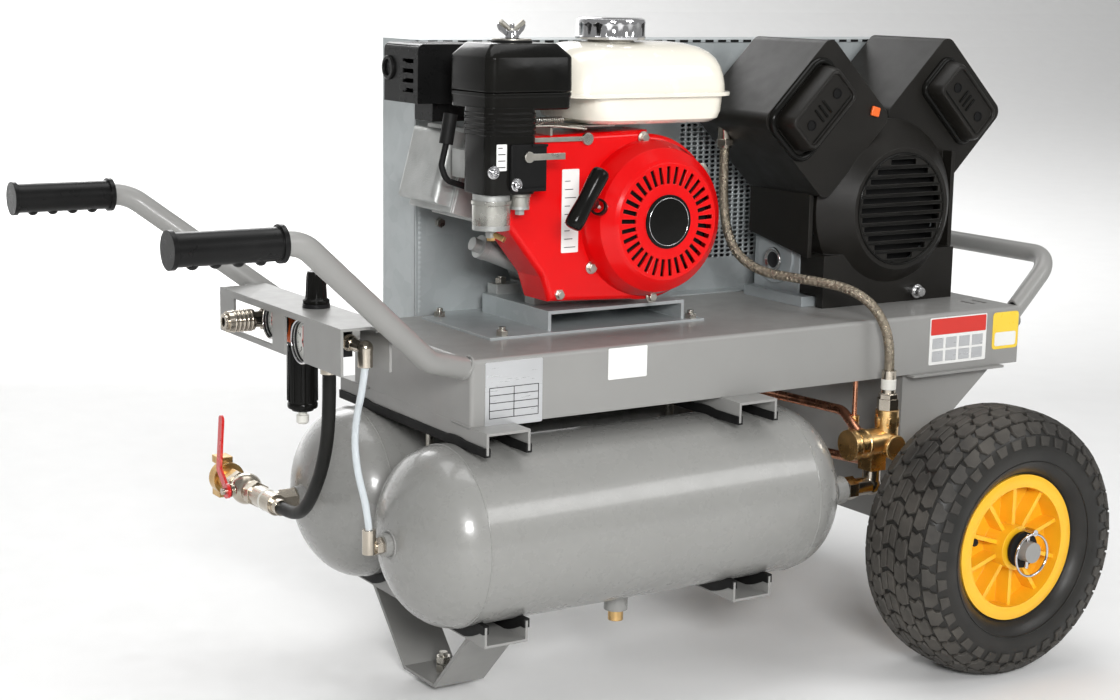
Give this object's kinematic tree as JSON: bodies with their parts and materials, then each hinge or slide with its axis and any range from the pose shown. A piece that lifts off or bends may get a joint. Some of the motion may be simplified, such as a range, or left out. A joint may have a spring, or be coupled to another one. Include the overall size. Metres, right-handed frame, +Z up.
{
  "type": "wheelbarrow air compressor",
  "caption": "Engine-driven air compressor on a wheelbarrow frame with paired air tanks, belt guard, shrouded pump, air hoses, pneumatic wheels and tube handles.",
  "frame": {"origin": "on the floor, under the middle of the object's box", "axes": "+X from the handles towards the wheels, +Y towards the belt guard, +Z up"},
  "size_m": [1.286, 0.7002, 0.7845],
  "materials": {
    "frame_paint": "satin grey paint",
    "zinc": "zinc plated",
    "black_rubber": "matt",
    "tyre": "matt",
    "yellow_plastic": "moulded, yellow",
    "brass": "cast and turned",
    "copper": "drawn copper",
    "nickel": "nickel plated",
    "braid": "braided steel wire",
    "nylon": "translucent",
    "red_plastic": "dipped",
    "black_plastic": "moulded, black",
    "regulator": "black with an orange collar",
    "needle": "plain",
    "cast_alloy": "as cast",
    "red_paint": "gloss red paint",
    "white_paint": "gloss cream paint",
    "chrome": "polished",
    "black_paint": "heat-proof black",
    "steel": "machined",
    "iron": "cast"
  },
  "bodies": {
    "chassis": {"air_cleaner": "black_plastic", "air_fittings": "nickel", "axle": "zinc", "ball_valve": "nickel", "blower_housing": "red_paint", "carburettor": "cast_alloy", "copper_pipes": "copper", "cradle_channels": "frame_paint", "cradle_edging": "black_rubber", "deck": "frame_paint", "discharge_hose": "braid", "drive_belts": "black_rubber", "engine_block": "cast_alloy", "engine_mount": "zinc", "filter_bowl": "black_plastic", "frame_bolts": "zinc", "front_loop_handle": "frame_paint", "front_tank": "frame_paint", "fuel_tank": "white_paint", "guard_back_plate": "zinc", "guard_cover": "zinc", "handle_grips": "black_rubber", "handle_tubes": "frame_paint", "intake_duct": "black_plastic", "intake_filters": "black_plastic", "muffler": "black_paint", "nylon_tube": "nylon", "outlet_hose": "black_rubber", "pressure_gauges": "regulator", "pump_crankcase": "iron", "pump_shroud": "black_plastic", "quick_coupling": "nickel", "rear_tank": "frame_paint", "recoil_cover": "red_paint", "regulator_body": "regulator", "regulator_bracket": "frame_paint", "ring_pins": "zinc", "rubber_foot": "black_rubber", "spark_plug_lead": "black_rubber", "unloader_valve": "brass", "wheel_carrier": "frame_paint"},
    "right_wheel": {"right_tyre": "tyre", "right_rim": "yellow_plastic"},
    "left_wheel": {"left_tyre": "tyre", "left_rim": "yellow_plastic"},
    "engine_rotor": {"engine_crankshaft": "steel"},
    "pump_rotor": {"pump_flywheel": "iron"},
    "recoil_grip": {"recoil_grip": "black_plastic"},
    "fuel_cap": {"fuel_cap": "chrome"},
    "oil_filler_cap": {"oil_filler_cap": "cast_alloy"},
    "regulator_knob": {"regulator_knob": "black_plastic"},
    "bowl_drain": {"bowl_drain": "nylon"},
    "valve_lever": {"valve_lever": "red_plastic"},
    "large_gauge_needle": {"large_gauge_needle": "needle"},
    "small_gauge_needle": {"small_gauge_needle": "needle"},
    "coupling_sleeve": {"coupling_sleeve": "nickel"},
    "choke_lever": {"choke_lever": "chrome"},
    "throttle_lever": {"throttle_lever": "chrome"},
    "front_drain_screw": {"front_drain_screw": "brass"},
    "rear_drain_screw": {"rear_drain_screw": "brass"}
  },
  "joints": [
    {"name": "right_wheel_spin", "type": "hinge", "parent": "chassis", "child": "right_wheel", "pos_m": [0.39, -0.272, 0.165], "axis": [0, 1, 0], "continuous": true},
    {"name": "left_wheel_spin", "type": "hinge", "parent": "chassis", "child": "left_wheel", "pos_m": [0.39, 0.272, 0.165], "axis": [0, 1, 0], "continuous": true},
    {"name": "pump_spin", "type": "hinge", "parent": "chassis", "child": "pump_rotor", "pos_m": [0.413, 0.186, 0.545], "axis": [0, 1, 0], "continuous": true},
    {"name": "engine_spin", "type": "hinge", "parent": "chassis", "child": "engine_rotor", "pos_m": [0.018, 0.186, 0.553], "axis": [0, 1, 0], "continuous": true},
    {"name": "recoil_pull", "type": "slide", "parent": "chassis", "child": "recoil_grip", "axis": [-0.724, -0.6311, 0.2784], "range_m": [0, 0.45], "stiffness_N_per_m": 40, "springref_m": -0.15},
    {"name": "fuel_cap_turn", "type": "hinge", "parent": "chassis", "child": "fuel_cap", "pos_m": [-0.009, -0.015, 0.77], "axis": [0, 0, 1], "range_deg": [0, 90]},
    {"name": "oil_cap_turn", "type": "hinge", "parent": "chassis", "child": "oil_filler_cap", "pos_m": [-0.149, 0.03, 0.515], "axis": [-0.9264, 0, 0.3766], "range_deg": [0, 720]},
    {"name": "regulator_knob_turn", "type": "hinge", "parent": "chassis", "child": "regulator_knob", "pos_m": [-0.39, -0.02, 0.48], "axis": [0, 0, 1], "range_deg": [-720, 720]},
    {"name": "bowl_drain_turn", "type": "hinge", "parent": "chassis", "child": "bowl_drain", "pos_m": [-0.39, 0.017, 0.345], "axis": [0, 0, 1], "range_deg": [0, 90]},
    {"name": "outlet_valve_turn", "type": "hinge", "parent": "chassis", "child": "valve_lever", "pos_m": [-0.412, 0.184, 0.22], "axis": [-1, 0, 0], "range_deg": [0, 90]},
    {"name": "large_gauge_swing", "type": "hinge", "parent": "chassis", "child": "large_gauge_needle", "pos_m": [-0.42, -0.05, 0.44], "axis": [-1, 0, 0], "range_deg": [-135, 135]},
    {"name": "small_gauge_swing", "type": "hinge", "parent": "chassis", "child": "small_gauge_needle", "pos_m": [-0.42, 0.03, 0.449], "axis": [-1, 0, 0], "range_deg": [-135, 135]},
    {"name": "coupling_release", "type": "slide", "parent": "chassis", "child": "coupling_sleeve", "axis": [1, 0, 0], "range_m": [0, 0.006], "stiffness_N_per_m": 800, "springref_m": -0.004},
    {"name": "choke_swing", "type": "hinge", "parent": "chassis", "child": "choke_lever", "pos_m": [-0.173, -0.102, 0.634], "axis": [0, 1, 0], "range_deg": [0, 40]},
    {"name": "throttle_swing", "type": "hinge", "parent": "chassis", "child": "throttle_lever", "pos_m": [-0.069, -0.063, 0.648], "axis": [0, 1, 0], "range_deg": [-20, 0]},
    {"name": "front_drain_turn", "type": "hinge", "parent": "chassis", "child": "front_drain_screw", "pos_m": [-0.049, -0.1115, 0.095], "axis": [0, 0, 1], "range_deg": [0, 360]},
    {"name": "rear_drain_turn", "type": "hinge", "parent": "chassis", "child": "rear_drain_screw", "pos_m": [-0.049, 0.1115, 0.095], "axis": [0, 0, 1], "range_deg": [0, 360]}
  ],
  "couplings": [
    {"joint": "engine_spin", "follows": "pump_spin", "ratio": 2.567}
  ]
}
